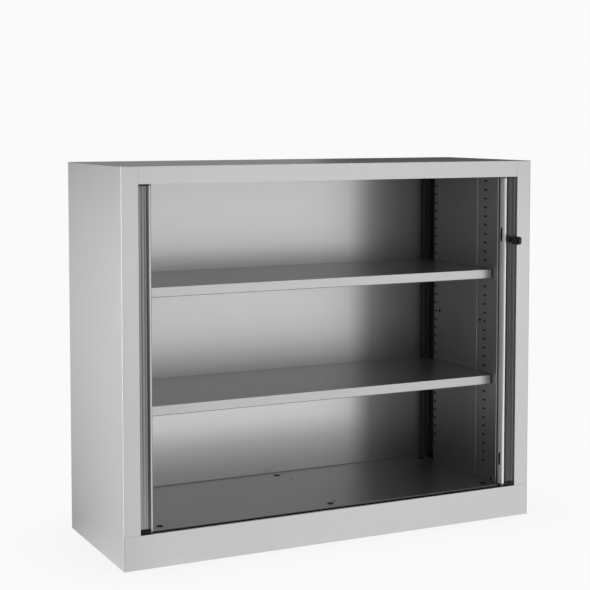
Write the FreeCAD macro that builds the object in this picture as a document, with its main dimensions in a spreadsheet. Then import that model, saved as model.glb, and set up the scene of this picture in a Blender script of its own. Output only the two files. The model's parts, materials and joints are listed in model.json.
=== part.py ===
"""Steel cupboard with two side-opening tambour doors.

Lengths are in millimetres. X runs across the front, Y from front to back and Z up.
Every piece is drawn with y = 0 on the cabinet's front face, and its Placement then sets it back,
so that the origin lies on the floor in the middle of the space that the cabinet and its key take up.
"""
import FreeCAD, Part
import math
import os
import Sketcher

SIDES = {"left": -1, "right": 1}
XY, XZ, YZ = "XY_Plane", "XZ_Plane", "YZ_Plane"
TOUCHING = 1e-6

# Form of the knuckles between slats, in shares of the socket's or bead's radius
LIP_ANGLE = math.radians(60)
SOCKET_FLAT = 0.75
LIP_BEVEL = 0.2
NECK_REACH = 0.9
NECK_HALF = 0.5
TIP_FLAT = 0.4

# Radius of the finger groove in shares of its width and depth together
HOLLOW_CURVE = 1.2

doc = FreeCAD.newDocument("tambour_cabinet")
sheet = doc.addObject("Spreadsheet::Sheet", "sizes")
nodes = []


class Dim:
    """A length: its value now, and the sheet expression that it is bound to."""

    def __init__(self, value, text):
        self.value = value
        self.text = text

    def joined(self, sign, other, value):
        return Dim(value, f"({self.text} {sign} {dim(other).text})")

    def __add__(self, other):
        return self.joined("+", other, self.value + dim(other).value)

    def __sub__(self, other):
        return self.joined("-", other, self.value - dim(other).value)

    def __mul__(self, other):
        return self.joined("*", other, self.value * dim(other).value)

    def __truediv__(self, other):
        return self.joined("/", other, self.value / dim(other).value)

    def __neg__(self):
        return self * -1

    def __radd__(self, other):
        return dim(other) + self

    def __rsub__(self, other):
        return dim(other) - self

    def __rmul__(self, other):
        return self * other


def dim(number):
    return number if isinstance(number, Dim) else Dim(number, f"({number})")


def size(name, millimetres):
    """Put one driving dimension into the next row of the sheet."""
    cell = f"B{len(sheet.getUsedCells()) + 1}"
    sheet.set(cell, str(millimetres))
    sheet.setAlias(cell, name)
    return Dim(millimetres, f"sizes.{name}")


# Carcass
width = size("width", 1200)
depth = size("depth", 430)
height = size("height", 1000)
gauge = size("gauge", 1)
post_width = size("post_width", 44)
rail_height = size("rail_height", 44)
plinth_height = size("plinth_height", 86)
plinth_hem = size("plinth_hem", 6)
foot_flange = size("foot_flange", 20)
back_return = size("back_return", 12)
edge_round = size("edge_round", 2.5)

# Inner lining
pocket_width = size("pocket_width", 84)
pan_drop = size("pan_drop", 26)
pan_flange = size("pan_flange", 30)
head_room = size("head_room", 30)
floor_rise = size("floor_rise", 2)
ceiling_rise = size("ceiling_rise", 1)
corner_gap = size("corner_gap", 18)
pilaster_depth = size("pilaster_depth", 101)
liner_rear_gap = size("liner_rear_gap", 47)
lining_lap = size("lining_lap", 12)
liner_flange = size("liner_flange", 12)

# Shelf slots and shelves
slot_length = size("slot_length", 12)
slot_width = size("slot_width", 3)
slot_pitch = size("slot_pitch", 25)
slot_rise = size("slot_rise", 53)
slot_setback = size("slot_setback", 61.5)
slot_rear_gap = size("slot_rear_gap", 11)
shelf_gap = size("shelf_gap", 3)
shelf_setback = size("shelf_setback", 21)
shelf_rear_gap = size("shelf_rear_gap", 2)
shelf_lip = size("shelf_lip", 25)
shelf_hem = size("shelf_hem", 12)
shelf_corner = size("shelf_corner", 4)
upper_shelf_count = size("upper_shelf_count", 21)
lower_shelf_count = size("lower_shelf_count", 9)
clip_width = size("clip_width", 10)
clip_reach = size("clip_reach", 13)
clip_thickness = size("clip_thickness", 2)
clip_hook = size("clip_hook", 8)
clip_play = size("clip_play", 0.5)

# Curtain track, to the middle of its groove
track_front = size("track_front", 15)
track_side_gap = size("track_side_gap", 15)
track_play = size("track_play", 0.2)
lining_play = size("lining_play", 1.2)
rear_bend = size("rear_bend", 45)
tail_spare = size("tail_spare", 20)
groove_play = size("groove_play", 2)
track_wall = size("track_wall", 1.2)
track_height = size("track_height", 24)

# Slats
slat_pitch = size("slat_pitch", 16)
curtain_spare = size("curtain_spare", 20)
slat_half = size("slat_half", 2.2)
slat_end_play = size("slat_end_play", 0.5)
rib_half = size("rib_half", 2.6)
rib_rise = size("rib_rise", 0.8)
rib_first = size("rib_first", 5.3)
bead_radius = size("bead_radius", 1.4)
bead_play = size("bead_play", 0.5)
slat_shoulder = size("slat_shoulder", 2.9)

# Leading stile of each door
lead_gap = size("lead_gap", 3)
stile_width = size("stile_width", 34)
nose_rise = size("nose_rise", 7)
stile_back = size("stile_back", 18)
stile_play = size("stile_play", 4)
stile_wall = size("stile_wall", 2)
stile_return = size("stile_return", 6)
cap_thickness = size("cap_thickness", 4)
cap_inset = size("cap_inset", 0.5)
floor_play = size("floor_play", 1)
nose_width = size("nose_width", 6)
nose_round = size("nose_round", 5)
tongue_play = size("tongue_play", 0.6)
insert_rise = size("insert_rise", 56)
insert_height = size("insert_height", 35)
insert_setback = size("insert_setback", 0.4)
insert_width = size("insert_width", 8)
insert_depth = size("insert_depth", 7)
insert_wall = size("insert_wall", 1.5)

# Lock
lock_drop = size("lock_drop", 175)
lock_inset = size("lock_inset", 16)
lock_head_radius = size("lock_head_radius", 10)
lock_shank_radius = size("lock_shank_radius", 7.5)
lock_play = size("lock_play", 0.3)
core_radius = size("core_radius", 4.5)
core_collar = size("core_collar", 6.5)
drive_half = size("drive_half", 3)
collar_thickness = size("collar_thickness", 2)
hook_setback = size("hook_setback", 1.8)
hook_thickness = size("hook_thickness", 4)
hook_reach = size("hook_reach", 32)
hook_half = size("hook_half", 6)
hook_hub = size("hook_hub", 8)
barb_start = size("barb_start", 22)
barb_depth = size("barb_depth", 11)
hook_slot_play = size("hook_slot_play", 1)
hook_slot_spare = size("hook_slot_spare", 1)
hook_slot_taper = size("hook_slot_taper", 1.5)
slot_side_play = size("slot_side_play", 1.4)
strike_margin = size("strike_margin", 5)
strike_front_lap = size("strike_front_lap", 0.3)
strike_rear_lap = size("strike_rear_lap", 2.5)
strike_thickness = size("strike_thickness", 1.5)
key_reach = size("key_reach", 47)
key_bow_front = size("key_bow_front", 4)
key_bow_height = size("key_bow_height", 22)
key_bow_thickness = size("key_bow_thickness", 7)
key_neck_height = size("key_neck_height", 14)
key_bow_round = size("key_bow_round", 8)
key_ring_radius = size("key_ring_radius", 3)
key_ring_inset = size("key_ring_inset", 9)
blade_height = size("blade_height", 6)
blade_thickness = size("blade_thickness", 2)
blade_depth = size("blade_depth", 16)

# Levelling feet
foot_inset = size("foot_inset", 30)
foot_setback = size("foot_setback", 32)
foot_rear_gap = size("foot_rear_gap", 42)
foot_lift = size("foot_lift", 0.5)
pad_radius = size("pad_radius", 15)
pad_thickness = size("pad_thickness", 6)
stud_radius = size("stud_radius", 4)
stud_drop = size("stud_drop", 13)
stud_play = size("stud_play", 0.4)
foot_nut_radius = size("foot_nut_radius", 8)
foot_nut_height = size("foot_nut_height", 8)
access_radius = size("access_radius", 6)
doc.recompute()

# Heights that follow from the driving sizes
opening_top = height - rail_height
pan_level = plinth_height - pan_drop
pan_top = pan_level + gauge
upper_pan = opening_top + head_room
ceiling = opening_top + ceiling_rise
floor_level = plinth_height + floor_rise
slot_first = floor_level + slot_rise
stile_low = floor_level + floor_play + cap_thickness
stile_high = opening_top - floor_play - cap_thickness
slat_low = pan_top + track_wall + slat_end_play
slat_high = upper_pan - track_wall - slat_end_play
insert_low = floor_level + insert_rise
lock_level = opening_top - lock_drop
stud_top = floor_level - stud_drop

# Distances from the middle
half = width / 2
inside_half = half - gauge
bay_half = half - pocket_width
inner_back_half = bay_half - corner_gap
shelf_half = bay_half - shelf_gap
foot_x = bay_half - foot_inset
stile_lead = bay_half + lead_gap
knuckle_x = stile_lead + stile_width
track_side = half - track_side_gap
front_bend = track_side - knuckle_x
lock_x = stile_lead + lock_inset

# Distances behind the front face
front_y = (key_reach - depth) / 2
groove = slat_half * 2 + rib_rise + groove_play
track_half = groove / 2 + track_wall
rib_front = slat_half + rib_rise
jamb_return = track_front - track_half - track_play
lining_front = track_front + track_half + lining_play
track_back = depth - gauge - track_play - track_half
inner_back_front = track_back - track_half - track_play - gauge
stile_front = track_front - nose_rise
stile_rear = track_front + stile_back
pilaster_front = stile_rear + stile_play
pilaster_rear = pilaster_front + pilaster_depth
liner_rear = inner_back_front - liner_rear_gap
slot_front = pilaster_front + slot_setback
slot_rear = liner_rear - slot_rear_gap
shelf_front = pilaster_front + shelf_setback
shelf_rear = inner_back_front - shelf_rear_gap
foot_front = lining_front + foot_setback
foot_rear = depth - foot_rear_gap
insert_front = track_front + slat_half + insert_setback
hook_front = track_front + slat_half + hook_setback
barrel_end = hook_front - lock_play * 2
hook_slot_front = hook_front - slot_side_play
hook_slot_width = hook_thickness + slot_side_play * 2
hook_slot_low = hook_half + hook_slot_play
hook_slot_high = hook_reach + hook_slot_spare

# Counts and lengths of the curtain
socket_radius = bead_radius + bead_play
slot_count = math.floor(((ceiling - slot_first - slot_length) / slot_pitch).value) + 1
slat_count = math.ceil(((half - post_width - stile_width + curtain_spare) / slat_pitch).value)
flank = track_back - rear_bend - track_front - front_bend
tail_run = slat_pitch * slat_count - (front_bend + rear_bend) * (math.pi / 2) - flank
track_tail = track_side - rear_bend - tail_run - tail_spare


def bind(item, **properties):
    """Tie properties to the sheet. Two underlines in a name stand for a point."""
    for name, value in properties.items():
        item.setExpression(name.replace("__", "."), dim(value).text)


def node(item, label, x=0, y=0, z=0):
    """Name a finished piece and set it in its place behind the front face."""
    item.Label = label
    bind(item, Placement__Base__x=x, Placement__Base__y=front_y + y, Placement__Base__z=z)
    nodes.append(item)
    return item


# Sketches

def origin_feature(body, role):
    return next(item for item in body.Origin.OriginFeatures if item.Role == role)


def new_sketch(body, plane, offset=0):
    sketch = body.newObject("Sketcher::SketchObject", "sketch")
    sketch.AttachmentSupport = (origin_feature(body, plane), [""])
    sketch.MapMode = "FlatFace"
    bind(sketch, AttachmentOffset__Base__z=offset)
    return sketch


def constrain(sketch, constraint, length):
    index = sketch.addConstraint(constraint)
    sketch.setExpression(f"Constraints[{index}]", dim(length).text)


def flat(point):
    return FreeCAD.Vector(dim(point[0]).value, dim(point[1]).value, 0)


def add_edge(sketch, start, end, arc):
    """Add a line, or an arc given as a point on it and its radius. Returns its number and end numbers."""
    if arc is None:
        return sketch.addGeometry(Part.LineSegment(flat(start), flat(end))), 1, 2
    index = sketch.addGeometry(Part.Arc(flat(start), flat(arc[0]), flat(end)))
    radius = dim(arc[1])
    constrain(sketch, Sketcher.Constraint("Radius", index, radius.value), radius)
    forward = sketch.getPoint(index, 1).distanceToPoint(flat(start)) < TOUCHING
    return (index, 1, 2) if forward else (index, 2, 1)


def outline(sketch, points):
    """Close an outline. A point is x, y and, for an arc to the next point, the arc."""
    edges = []
    for start, end in zip(points, points[1:] + points[:1]):
        edges.append(add_edge(sketch, start, end, start[2] if len(start) > 2 else None))
    for (index, _, last), (following, first, _) in zip(edges, edges[1:] + edges[:1]):
        sketch.addConstraint(Sketcher.Constraint("Coincident", index, last, following, first))
    for (index, first, _), point in zip(edges, points):
        for axis, value in zip(("DistanceX", "DistanceY"), point):
            constrain(sketch, Sketcher.Constraint(axis, index, first, dim(value).value), value)


def sign(number):
    return (number > 0) - (number < 0)


def round_corner(before, corner, after, radius):
    """Two points that replace a square corner by an arc."""
    ends = []
    middle = flat(corner)
    for other in (before, after):
        way = flat(other) - flat(corner)
        step = (sign(round(way.x, 6)), sign(round(way.y, 6)))
        ends.append((corner[0] + radius * step[0], corner[1] + radius * step[1]))
        middle += FreeCAD.Vector(*step, 0) * radius.value * (1 - math.sqrt(0.5))
    return [(*ends[0], ((middle.x, middle.y), radius)), ends[1]]


def rounded(corners):
    """Points of a square-cornered outline, where a corner may carry a radius as its third value."""
    points = []
    for i, corner in enumerate(corners):
        if len(corner) == 2:
            points.append(corner)
        else:
            before, after = corners[i - 1], corners[(i + 1) % len(corners)]
            points += round_corner(before, corner, after, corner[2])
    return points


def rectangle(x0, x1, y0, y1):
    return [(x0, y0), (x1, y0), (x1, y1), (x0, y1)]


def circle(sketch, x, y, radius):
    centre = flat((x, y))
    index = sketch.addGeometry(Part.Circle(centre, FreeCAD.Vector(0, 0, 1), dim(radius).value))
    constrain(sketch, Sketcher.Constraint("Radius", index, dim(radius).value), radius)
    constrain(sketch, Sketcher.Constraint("DistanceX", index, 3, centre.x), x)
    constrain(sketch, Sketcher.Constraint("DistanceY", index, 3, centre.y), y)


# Features of a body

def new_body(name):
    return doc.addObject("PartDesign::Body", name)


def pad(body, plane, points, length, offset=0, both_ways=False):
    sketch = new_sketch(body, plane, offset)
    outline(sketch, points)
    feature = body.newObject("PartDesign::Pad", "pad")
    feature.Profile = sketch
    feature.SideType = "Symmetric" if both_ways else "One side"
    bind(feature, Length=length)
    doc.recompute()
    return feature


def pocket(body, plane, draw, offset=0, both_ways=True, length=None):
    """Cut with what draw puts into the sketch, through everything unless a length is given."""
    before = body.Shape.Volume
    sketch = new_sketch(body, plane, offset)
    draw(sketch)
    feature = body.newObject("PartDesign::Pocket", "pocket")
    feature.Profile = sketch
    if length is None:
        feature.Type = "ThroughAll"
    else:
        bind(feature, Length=length)
    feature.SideType = "Symmetric" if both_ways else "One side"
    doc.recompute()
    if body.Shape.Volume > before - 1e-3:
        raise ValueError(f"a pocket of {body.Name} cuts nothing")
    return feature


def repeat_up(body, feature, count, pitch):
    """Repeat a feature upwards."""
    pattern = body.newObject("PartDesign::LinearPattern", "pattern")
    pattern.Originals = [feature]
    pattern.Direction = (origin_feature(body, "Z_Axis"), [""])
    bind(pattern, Length=pitch * (count - 1))
    pattern.Occurrences = count
    body.Tip = pattern
    doc.recompute()


def revolve(body, plane, points):
    """Turn an outline about the sketch's upright axis."""
    sketch = new_sketch(body, plane)
    outline(sketch, points)
    feature = body.newObject("PartDesign::Revolution", "revolution")
    feature.Profile = sketch
    feature.ReferenceAxis = (sketch, ["V_Axis"])
    feature.Angle = 360
    doc.recompute()
    return feature


# Primitives

def box(x0, x1, y0, y1, z0, z1):
    item = doc.addObject("Part::Box", "box")
    bind(item, Length=x1 - x0, Width=y1 - y0, Height=z1 - z0)
    bind(item, Placement__Base__x=x0, Placement__Base__y=y0, Placement__Base__z=z0)
    return item


def upright_cylinder(x, y, z0, z1, radius):
    item = doc.addObject("Part::Cylinder", "cylinder")
    bind(item, Radius=radius, Height=z1 - z0)
    bind(item, Placement__Base__x=x, Placement__Base__y=y, Placement__Base__z=z0)
    return item


def fuse(items):
    item = doc.addObject("Part::MultiFuse", "fusion")
    item.Shapes = items
    item.Refine = True
    return item


def cut(base, tool):
    item = doc.addObject("Part::Cut", "cut")
    item.Base = base
    item.Tool = tool
    item.Refine = True
    return item


def group(items):
    item = doc.addObject("Part::Compound", "group")
    item.Links = items
    return item


def tray(half_width, y0, y1, z0, z1, open_below=True):
    """A folded sheet with four flanges, open below or above."""
    low = z0 - gauge if open_below else z0 + gauge
    high = z1 - gauge if open_below else z1 + gauge
    outer = box(-half_width, half_width, y0, y1, z0, z1)
    inner_half = half_width - gauge
    return cut(outer, box(-inner_half, inner_half, y0 + gauge, y1 - gauge, low, high))


# Carcass

def side_panel(name, side):
    """A side sheet to the floor, folded round into the front post above the plinth."""
    body = new_body(f"{name}_side")
    outside, skin = side * half, side * inside_half
    jamb = side * (half - post_width)
    fold = [
        (outside, depth), (outside, dim(0), edge_round), (jamb, dim(0)), (jamb, gauge),
        (skin, gauge, edge_round - gauge), (skin, depth),
    ]
    pad(body, XY, rounded(fold), height - gauge)

    def under_post(sketch):
        outline(sketch, rectangle(skin, jamb - side * gauge, -gauge, gauge * 2))

    pocket(body, XY, under_post, offset=plinth_height, both_ways=False)
    lip = rectangle(jamb, jamb + side * gauge, gauge, jamb_return)
    pad(body, XY, lip, opening_top - plinth_height, offset=plinth_height)
    return node(body, f"{name}_side_panel")


def top_panel():
    """The top sheet, with the front rail folded down between the posts."""
    body = new_body("top")
    pad(body, XY, front_rounded(half, dim(0), depth, edge_round), gauge, offset=height - gauge)
    rail = [
        (dim(0), height - gauge), (dim(0), opening_top), (jamb_return, opening_top),
        (jamb_return, opening_top + gauge), (gauge, opening_top + gauge), (gauge, height - gauge),
    ]
    pad(body, YZ, rail, width - post_width * 2, both_ways=True)
    return node(body, "top_panel")


def front_plinth():
    body = new_body("front_plinth")
    fold = [
        (dim(0), dim(0)), (dim(0), plinth_height), (plinth_hem, plinth_height),
        (plinth_hem, plinth_height - gauge), (gauge, plinth_height - gauge), (gauge, gauge),
        (foot_flange, gauge), (foot_flange, dim(0)),
    ]
    pad(body, YZ, fold, inside_half * 2, both_ways=True)
    return node(body, "front_plinth")


def rear_plinth():
    body = new_body("rear_plinth")
    fold = [
        (depth, dim(0)), (depth, plinth_height), (depth - gauge, plinth_height),
        (depth - gauge, gauge), (depth - foot_flange, gauge), (depth - foot_flange, dim(0)),
    ]
    pad(body, YZ, fold, inside_half * 2, both_ways=True)
    return node(body, "rear_plinth")


def outer_back():
    """The back sheet, its edges folded forward inside the side panels."""
    body = new_body("outer_back")
    edge, inner = inside_half, inside_half - gauge
    fold = [
        (-edge, depth - back_return), (-edge, depth), (edge, depth), (edge, depth - back_return),
        (inner, depth - back_return), (inner, depth - gauge), (-inner, depth - gauge),
        (-inner, depth - back_return),
    ]
    pad(body, XY, fold, height - gauge - plinth_height, offset=plinth_height)
    return node(body, "outer_back_panel")


def foot_places():
    """Name, x and y of each levelling foot."""
    for row, y in (("front", foot_front), ("rear", foot_rear)):
        for column, x in (("left", -foot_x), ("right", foot_x)):
            yield f"{row}_{column}", x, y


def bottom_pan():
    """The pan that carries the lower track, punched square for the feet."""
    reach = stud_radius + stud_play
    holes = [
        box(x - reach, x + reach, y - reach, y + reach, dim(0), floor_level) for _, x, y in foot_places()
    ]
    sheet_pan = tray(inside_half, gauge, depth - gauge, pan_top - pan_flange, pan_top)
    return node(cut(sheet_pan, fuse(holes)), "bottom_pan")


def upper_pan_tray():
    half_width = inside_half - gauge
    pan = tray(half_width, gauge, depth - gauge, upper_pan, height - gauge, open_below=False)
    return node(pan, "upper_pan")


def base_floor():
    """The raised floor, with access holes above the feet and two more on the middle line."""
    floor = tray(bay_half, lining_front, inner_back_front, pan_top, floor_level)
    above = floor_level + gauge
    places = [(x, y) for _, x, y in foot_places()] + [(dim(0), foot_front), (dim(0), foot_rear)]
    holes = [upright_cylinder(x, y, pan_top, above, access_radius) for x, y in places]
    return node(cut(floor, fuse(holes)), "base_floor")


def ceiling_panel():
    lining = tray(bay_half, lining_front, inner_back_front, ceiling, upper_pan, open_below=False)
    return node(lining, "ceiling_panel")


def inner_back():
    body = new_body("inner_back")
    face = rectangle(-inner_back_half, inner_back_half, inner_back_front, inner_back_front + gauge)
    pad(body, XY, face, upper_pan - pan_top, offset=pan_top)
    return node(body, "inner_back_panel")


def slotted(body, slot_y):
    """Cut the column of shelf slots into an upright sheet."""
    reach = slot_length / 2

    def slot(sketch):
        low = slot_first - slot_width / 2
        outline(sketch, rectangle(slot_y - reach, slot_y + reach, low, low + slot_width))

    repeat_up(body, pocket(body, YZ, slot), slot_count, slot_pitch)


def pilaster(name, side):
    """The front strip of a side lining, its front edge folded outwards."""
    body = new_body(f"{name}_pilaster")
    inner, outer = side * (bay_half + gauge), side * (bay_half + gauge * 2)
    edge = side * (bay_half + liner_flange)
    rear = pilaster_rear + lining_lap
    fold = rounded([
        (inner, rear), (inner, pilaster_front, edge_round), (edge, pilaster_front),
        (edge, pilaster_front + gauge), (outer, pilaster_front + gauge, edge_round - gauge), (outer, rear),
    ])
    pad(body, XY, fold, upper_pan - pan_top, offset=pan_top)
    slotted(body, slot_front)
    return node(body, f"{name}_front_pilaster")


def liner(name, side):
    """The rear sheet of a side lining, lapped inside the pilaster, its rear edge folded outwards."""
    body = new_body(f"{name}_liner")
    inner, outer = side * bay_half, side * (bay_half + gauge)
    edge = side * (bay_half + liner_flange)
    fold = rounded([
        (inner, pilaster_rear), (inner, liner_rear, edge_round), (edge, liner_rear),
        (edge, liner_rear - gauge), (outer, liner_rear - gauge, edge_round - gauge), (outer, pilaster_rear),
    ])
    pad(body, XY, fold, upper_pan - pan_top, offset=pan_top)
    slotted(body, slot_rear)
    return node(body, f"{name}_liner")


# Shelves

def front_rounded(x, y0, y1, radius):
    """A plan outline with its two front corners rounded."""
    return rounded([(-x, y1), (-x, y0, radius), (x, y0, radius), (x, y1)])


def shelf(name, slot_number):
    """A folded shelf with a lip all round and a hem under its front lip."""
    low = slot_first + slot_pitch * slot_number + slot_width
    body = new_body(f"{name}_shelf")
    inside, y0, y1 = shelf_half - gauge, shelf_front + gauge, shelf_rear - gauge
    pad(body, XY, front_rounded(shelf_half, shelf_front, shelf_rear, shelf_corner), shelf_lip, offset=low)

    def hollow(sketch):
        outline(sketch, front_rounded(inside, y0, y1, shelf_corner - gauge))

    pocket(body, XY, hollow, offset=low + shelf_lip - gauge, both_ways=False)
    hem_half = inside - shelf_corner
    pad(body, XY, rectangle(-hem_half, hem_half, y0, y0 + shelf_hem), gauge, offset=low)
    return node(body, f"{name}_shelf")


def shelf_clip(side, y, slot_number):
    """A clip whose tongue passes through a slot and hooks down behind the sheet."""
    level = slot_first + slot_pitch * slot_number
    y0, y1 = y - clip_width / 2, y + clip_width / 2
    tongue_low, seat = level - slot_width / 2 + clip_play, level + slot_width
    behind = bay_half + gauge * 2 + clip_play
    sides = [
        (bay_half - clip_reach, behind + clip_thickness, tongue_low, tongue_low + clip_thickness),
        (behind, behind + clip_thickness, tongue_low - clip_hook, tongue_low + clip_thickness),
        (bay_half - clip_reach, bay_half - clip_play, tongue_low, seat),
    ]
    boxes = []
    for inner, outer, low, high in sides:
        x0, x1 = (inner, outer) if side > 0 else (-outer, -inner)
        boxes.append(box(x0, x1, y0, y1, low, high))
    return fuse(boxes)


def shelf_clips(name, slot_number):
    clips = [shelf_clip(side, y, slot_number) for side in SIDES.values() for y in (slot_front, slot_rear)]
    return node(group(clips), f"{name}_shelf_clips")


# Curtain track

def track_path(sketch, side):
    """Along the front, round the corner, back along the side and in behind the inner back."""
    turn = side * (track_side - front_bend), side * (track_side - rear_bend)
    corner, flank_end = track_front + front_bend, track_back - rear_bend
    slack = 1 - math.sqrt(0.5)
    first_middle = (side * (track_side - front_bend * slack), track_front + front_bend * slack)
    second_middle = (side * (track_side - rear_bend * slack), track_back - rear_bend * slack)
    points = [
        (dim(0), track_front), (turn[0], track_front, (first_middle, front_bend)),
        (side * track_side, corner), (side * track_side, flank_end, (second_middle, rear_bend)),
        (turn[1], track_back), (side * track_tail, track_back),
    ]
    edges = []
    for start, end in zip(points, points[1:]):
        edges.append(add_edge(sketch, start, end, start[2] if len(start) > 2 else None))
    for (index, _, last), (following, first, _) in zip(edges, edges[1:]):
        sketch.addConstraint(Sketcher.Constraint("Coincident", index, last, following, first))
    ends = [(index, first) for index, first, _ in edges] + [(edges[-1][0], edges[-1][2])]
    for (index, end), point in zip(ends, points):
        for axis, value in zip(("DistanceX", "DistanceY"), point):
            constrain(sketch, Sketcher.Constraint(axis, index, end, dim(value).value), value)
    return len(edges)


def track(name, side, web, rim, level):
    """A channel swept along the path. Its web lies at one height and its legs end at another."""
    body = new_body(f"{name}_{level}_track")
    path = new_sketch(body, XY)
    count = track_path(path, side)
    outer, inner = track_half, groove / 2
    up = 1 if rim.value > web.value else -1
    inside_web = web + track_wall * up
    channel = new_sketch(body, YZ)
    outline(channel, [
        (track_front - outer, rim), (track_front - outer, web), (track_front + outer, web),
        (track_front + outer, rim), (track_front + inner, rim), (track_front + inner, inside_web),
        (track_front - inner, inside_web), (track_front - inner, rim),
    ])
    pipe = body.newObject("PartDesign::AdditivePipe", "pipe")
    pipe.Profile = channel
    pipe.Spine = (path, [f"Edge{i + 1}" for i in range(count)])
    doc.recompute()
    return node(body, f"{name}_{level}_track")


# Tambour curtain

def socket(u):
    """The open socket at a tail edge, flat-sided round its knuckle, from back lip to front lip."""
    lip_u, lip_v = socket_radius * math.cos(LIP_ANGLE), socket_radius * math.sin(LIP_ANGLE)
    deep_v, bevel = socket_radius * SOCKET_FLAT, socket_radius * LIP_BEVEL
    return [
        (u + bevel, -slat_half), (u + lip_u, -lip_v), (u - socket_radius, -deep_v),
        (u - socket_radius, deep_v), (u + lip_u, lip_v), (u + bevel, slat_half),
    ]


def rib(u):
    """The crest and foot of a bevelled rib on the front, met from its tail side."""
    crest = rib_half / 2
    return [(u + crest, rib_front), (u - crest, rib_front), (u - rib_half, slat_half)]


def bead():
    """The bead on a leading edge, from the front of its neck to the back."""
    neck_u, neck_v, tip_v = bead_radius * NECK_REACH, bead_radius * NECK_HALF, bead_radius * TIP_FLAT
    return [
        (neck_u, neck_v), (dim(0), bead_radius), (-bead_radius, tip_v),
        (-bead_radius, -tip_v), (dim(0), -bead_radius), (neck_u, -neck_v),
    ]


def faced(points, x, along, y, outward):
    """Turn points given along the curtain and outwards from it into sketch x and y."""
    turned = []
    for u, v, *arc in points:
        place = (x + u * along, y + v * outward)
        for (arc_u, arc_v), radius in arc:
            middle = (dim(x).value + arc_u * along, dim(y).value + arc_v * outward)
            place += ((middle, radius),)
        turned.append(place)
    return turned


def slat(side):
    """One slat: a bead on its leading edge, a socket on its tail edge and two ribs on its front."""
    body = new_body("slat")
    second_rib = rib_first + slat_pitch / 2
    points = [
        *bead(), (slat_shoulder, -bead_radius * NECK_HALF), (slat_shoulder, -slat_half),
        *socket(slat_pitch), *rib(second_rib), (rib_first + rib_half, slat_half), *rib(rib_first),
        (slat_shoulder, bead_radius * NECK_HALF),
    ]
    pad(body, XY, faced(points, dim(0), 1, dim(0), -side), slat_high - slat_low)
    return body


def path_legs():
    """Length and bend radius of each leg of the path behind an open door's stile."""
    quarter = math.pi / 2
    return [
        (front_bend.value * quarter, front_bend.value), (flank.value, None),
        (rear_bend.value * quarter, rear_bend.value), (half.value, None),
    ]


def path_point(distance, side):
    """The point on the middle of the groove at a distance behind the stile."""
    x, y, heading = knuckle_x.value, track_front.value, 0
    for length, radius in path_legs():
        step = min(distance, length)
        distance -= step
        if radius is None:
            x += step * math.cos(heading)
            y += step * math.sin(heading)
        else:
            turned = heading + step / radius
            x += radius * (math.sin(turned) - math.sin(heading))
            y += radius * (math.cos(heading) - math.cos(turned))
            heading = turned
    return FreeCAD.Vector(side * x, y, 0)


def next_knuckle(distance, side):
    """The distance at which the next knuckle lies one slat away in a straight line."""
    here = path_point(distance, side)
    near, far = distance + slat_pitch.value / 2, distance + slat_pitch.value * 2
    while far - near > TOUCHING:
        middle = (near + far) / 2
        if path_point(middle, side).distanceToPoint(here) < slat_pitch.value:
            near = middle
        else:
            far = middle
    return near


def curtain(name, side):
    """All slats of an open door, hooked into each other round both bends of the track."""
    strip = slat(side).Shape
    slats = []
    distance = 0
    for _ in range(slat_count):
        following = next_knuckle(distance, side)
        start, end = path_point(distance, side), path_point(following, side)
        turn = math.degrees(math.atan2(end.y - start.y, end.x - start.x))
        piece = strip.copy()
        piece.Placement = FreeCAD.Placement(start, FreeCAD.Rotation(FreeCAD.Vector(0, 0, 1), turn))
        slats.append(piece)
        distance = following
    item = doc.addObject("Part::Feature", f"{name}_curtain")
    item.Shape = Part.makeCompound(slats)
    return node(item, f"{name}_curtain_slats", z=slat_low)


# Door stiles

def finger_hollow(start, end):
    """The arc of the finger groove, as a point on it and its radius."""
    radius = (start[0] - end[0] + end[1] - start[1]) * HOLLOW_CURVE
    first, last = flat(start), flat(end)
    chord = last - first
    sagitta = radius.value - math.sqrt(radius.value ** 2 - chord.Length ** 2 / 4)
    inward = FreeCAD.Vector(-chord.y, chord.x, 0).normalize()
    middle = (first + last) / 2 + inward * sagitta
    return (middle.x, middle.y), radius


def stile_section():
    """The extruded handle section, along the curtain from its knuckle and outwards from the groove."""
    lead, nose, rear = -stile_width, track_front - stile_front, track_front - stile_rear
    brow = (lead + nose_width, nose)
    inner_lead = lead + stile_wall
    ribs = rib(rib_first - slat_pitch / 2)
    for place in (rib_first - slat_pitch, rib_first - slat_pitch * 1.5):
        ribs += [(place + rib_half, slat_half), *rib(place)]
    rib_end = ribs.pop()
    return [
        *socket(dim(0)), *ribs, (*rib_end, finger_hollow(rib_end, brow)), brow,
        *round_corner(brow, (lead, nose), (lead, rear), nose_round),
        (lead, rear), (lead + stile_return, rear), (lead + stile_return, rear + stile_wall),
        (inner_lead, rear + stile_wall), (inner_lead, -slat_half),
    ]


def hook_opening(sketch):
    """The slot in a leading face that the hook swings through, narrower at its top."""
    low, high = lock_level - hook_slot_low, lock_level + hook_slot_high
    y0, y1 = hook_slot_front, hook_slot_front + hook_slot_width
    outline(sketch, [(y0, low), (y1, low), (y1 - hook_slot_taper, high), (y0, high)])


def lock_hole(body, radius, depth_back=None):
    """A round hole for the lock, through the stile or only as deep as the head's seat."""

    def draw(sketch):
        circle(sketch, lock_x, lock_level, radius + lock_play)

    pocket(body, XZ, draw, both_ways=depth_back is None, length=depth_back)


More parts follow.
